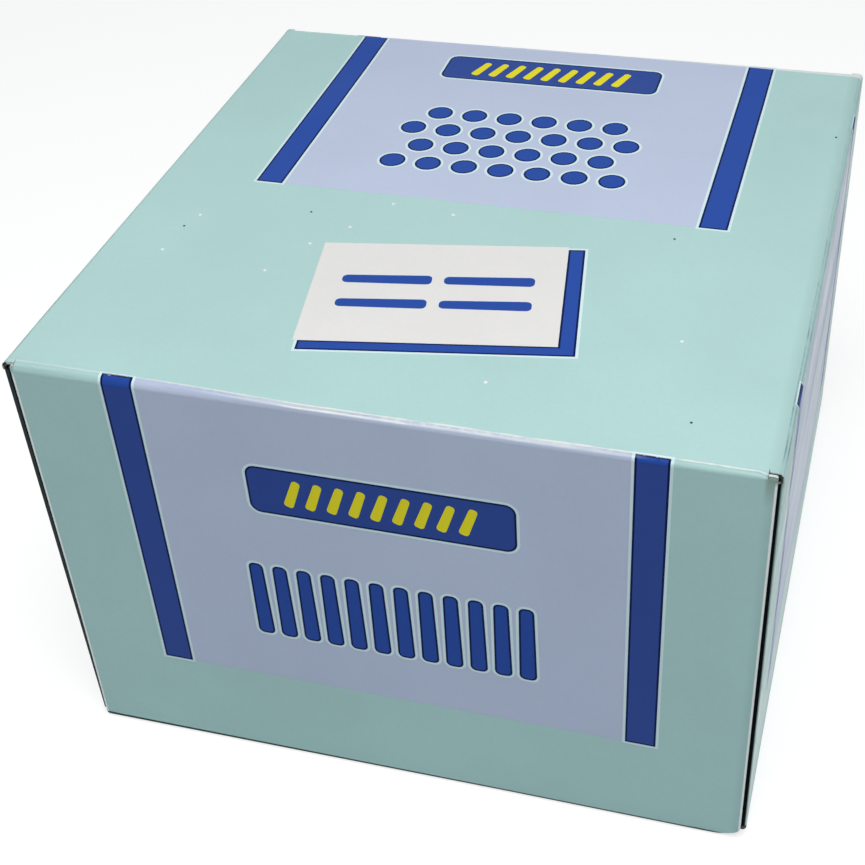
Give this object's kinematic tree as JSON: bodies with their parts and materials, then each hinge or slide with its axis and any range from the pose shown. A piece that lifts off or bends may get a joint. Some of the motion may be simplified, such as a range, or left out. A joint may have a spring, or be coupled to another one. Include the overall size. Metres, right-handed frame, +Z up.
{
  "type": "carton of chalk sticks",
  "caption": "Square folding carton packed with upright chalk sticks. A tuck-in closure swings on a crease at each end of its top panel.",
  "frame": {"origin": "middle of the footprint, on the face that the closed carton stands on", "axes": "+Z up, +X to the carton's right, the front closure faces -Y"},
  "size_m": [0.122, 0.1248, 0.0824],
  "materials": {
    "board": "coated folding board printed pale green-blue, white on its inside",
    "ink_pale": "pale violet-blue ink field on the coated board",
    "ink_dark": "dark blue ink field on the coated board",
    "ink_card": "unprinted coated board",
    "chalk": "matt, slightly dusty white"
  },
  "bodies": {
    "carton": {"sleeve": "board", "top_field": "ink_pale", "top_bars": "ink_dark", "top_badge": "ink_dark", "card": "ink_card", "card_shadow": "ink_dark", "right_field": "ink_pale", "right_bars": "ink_dark", "left_field": "ink_pale", "left_bars": "ink_dark", "chalk_row_01": "chalk", "chalk_row_02": "chalk", "chalk_row_03": "chalk", "chalk_row_04": "chalk", "chalk_row_05": "chalk", "chalk_row_06": "chalk", "chalk_row_07": "chalk", "chalk_row_08": "chalk", "chalk_row_09": "chalk", "chalk_row_10": "chalk", "chalk_row_11": "chalk", "chalk_row_12": "chalk"},
    "front_closure": {"front_closure": "board", "front_field": "ink_pale", "front_bars": "ink_dark", "front_badge": "ink_dark"},
    "rear_closure": {"rear_closure": "board", "rear_field": "ink_pale", "rear_bars": "ink_dark"}
  },
  "joints": [
    {"name": "front_closure_crease", "type": "hinge", "parent": "carton", "child": "front_closure", "pos_m": [0, -0.06215, 0.08218], "axis": [-1, 0, 0], "range_deg": [0, 150]},
    {"name": "rear_closure_crease", "type": "hinge", "parent": "carton", "child": "rear_closure", "pos_m": [0, 0.06215, 0.08218], "axis": [1, 0, 0], "range_deg": [0, 150]}
  ]
}
